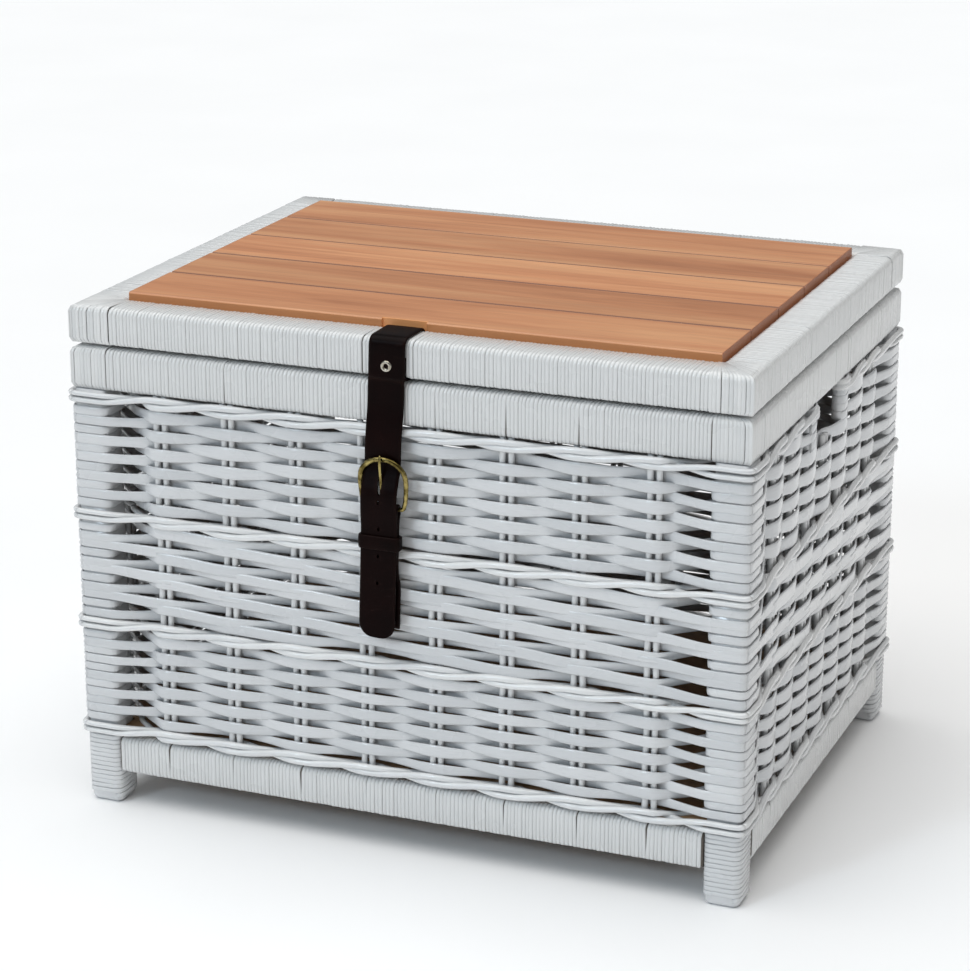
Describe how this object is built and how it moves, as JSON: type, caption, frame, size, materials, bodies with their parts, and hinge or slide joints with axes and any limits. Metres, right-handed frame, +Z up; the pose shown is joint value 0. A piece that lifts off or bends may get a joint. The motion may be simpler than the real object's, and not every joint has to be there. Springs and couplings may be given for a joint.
{
  "type": "wicker storage trunk",
  "caption": "Woven wicker storage trunk on short feet, with a hinged slatted wooden lid, side handle holes and a buckled leather strap.",
  "frame": {"origin": "on the floor under the middle of the trunk: the centre of the box round it", "axes": "+X to the trunk's right along its front, +Y from the front to the hinged back, +Z up"},
  "size_m": [0.608, 0.484, 0.4565],
  "materials": {
    "frame_wood": "sawn softwood, painted white where it shows",
    "painted_cane": "split cane binding under gloss white paint",
    "painted_weave": "woven willow skein under gloss white paint",
    "painted_stake": "round willow rod under white paint",
    "painted_wale": "round willow rod under gloss white paint",
    "board_wood": "reddish hardwood, oiled, satin",
    "inner_wood": "plain plywood and softwood",
    "strap_leather": "smooth dark brown leather, semi-gloss",
    "antique_brass": "antique brass, worn bright on the edges",
    "steel": "zinc-plated steel"
  },
  "bodies": {
    "root": {"bottom_rail_back": "frame_wood", "bottom_rail_binding_back": "painted_cane", "bottom_rail_binding_front": "painted_cane", "bottom_rail_binding_left": "painted_cane", "bottom_rail_binding_right": "painted_cane", "bottom_rail_front": "frame_wood", "bottom_rail_left": "frame_wood", "bottom_rail_right": "frame_wood", "buckle_rivets": "antique_brass", "buckle_strap": "strap_leather", "floor_panel": "inner_wood", "foot_bindings": "painted_cane", "hinge_leaves_body": "steel", "hinge_pins": "steel", "hinge_screws_body": "steel", "keeper_loop": "strap_leather", "post_back_left": "frame_wood", "post_back_right": "frame_wood", "post_front_left": "frame_wood", "post_front_right": "frame_wood", "stakes_front_back": "painted_stake", "stakes_sides": "painted_stake", "top_rail_back": "frame_wood", "top_rail_binding_back": "painted_cane", "top_rail_binding_front": "painted_cane", "top_rail_binding_left": "painted_cane", "top_rail_binding_right": "painted_cane", "top_rail_front": "frame_wood", "top_rail_left": "frame_wood", "top_rail_right": "frame_wood", "wale_bottom": "painted_wale", "wale_lower": "painted_wale", "wale_top": "painted_wale", "wale_upper": "painted_wale", "weave_back": "painted_weave", "weave_front": "painted_weave", "weave_left": "painted_weave", "weave_right": "painted_weave"},
    "lid": {"board_1": "board_wood", "board_2": "board_wood", "board_3": "board_wood", "board_4": "board_wood", "board_5": "board_wood", "hinge_leaves_lid": "steel", "hinge_screws_lid": "steel", "lid_battens": "inner_wood", "lid_rail_back": "frame_wood", "lid_rail_binding_back": "painted_cane", "lid_rail_binding_front": "painted_cane", "lid_rail_binding_left": "painted_cane", "lid_rail_binding_right": "painted_cane", "lid_rail_front": "frame_wood", "lid_rail_left": "frame_wood", "lid_rail_right": "frame_wood", "strap_loop": "strap_leather", "strap_rivet": "antique_brass"},
    "strap": {"strap_tongue": "strap_leather"},
    "buckle": {"buckle_frame": "antique_brass"},
    "prong": {"buckle_prong": "antique_brass"}
  },
  "joints": [
    {"name": "lid_hinge", "type": "hinge", "parent": "root", "child": "lid", "pos_m": [0, 0.234, 0.4164], "axis": [-1, 0, 0], "range_deg": [0, 105]},
    {"name": "strap_swing", "type": "hinge", "parent": "lid", "child": "strap", "pos_m": [-0.009, -0.2335, 0.4174], "axis": [-1, 0, 0], "range_deg": [-84, 0], "deforming": ["strap_tongue"]},
    {"name": "buckle_swing", "type": "hinge", "parent": "root", "child": "buckle", "pos_m": [-0.009, -0.2385, 0.31], "axis": [1, 0, 0], "range_deg": [0, 100]},
    {"name": "prong_swing", "type": "hinge", "parent": "buckle", "child": "prong", "pos_m": [-0.009, -0.2385, 0.31], "axis": [1, 0, 0], "range_deg": [0, 48]}
  ],
  "couplings": [
    {"joint": "strap_swing", "follows": "lid_hinge", "ratio": -0.8},
    {"joint": "buckle_swing", "follows": "lid_hinge", "ratio": 0.95},
    {"joint": "prong_swing", "follows": "lid_hinge", "ratio": 0.45}
  ]
}
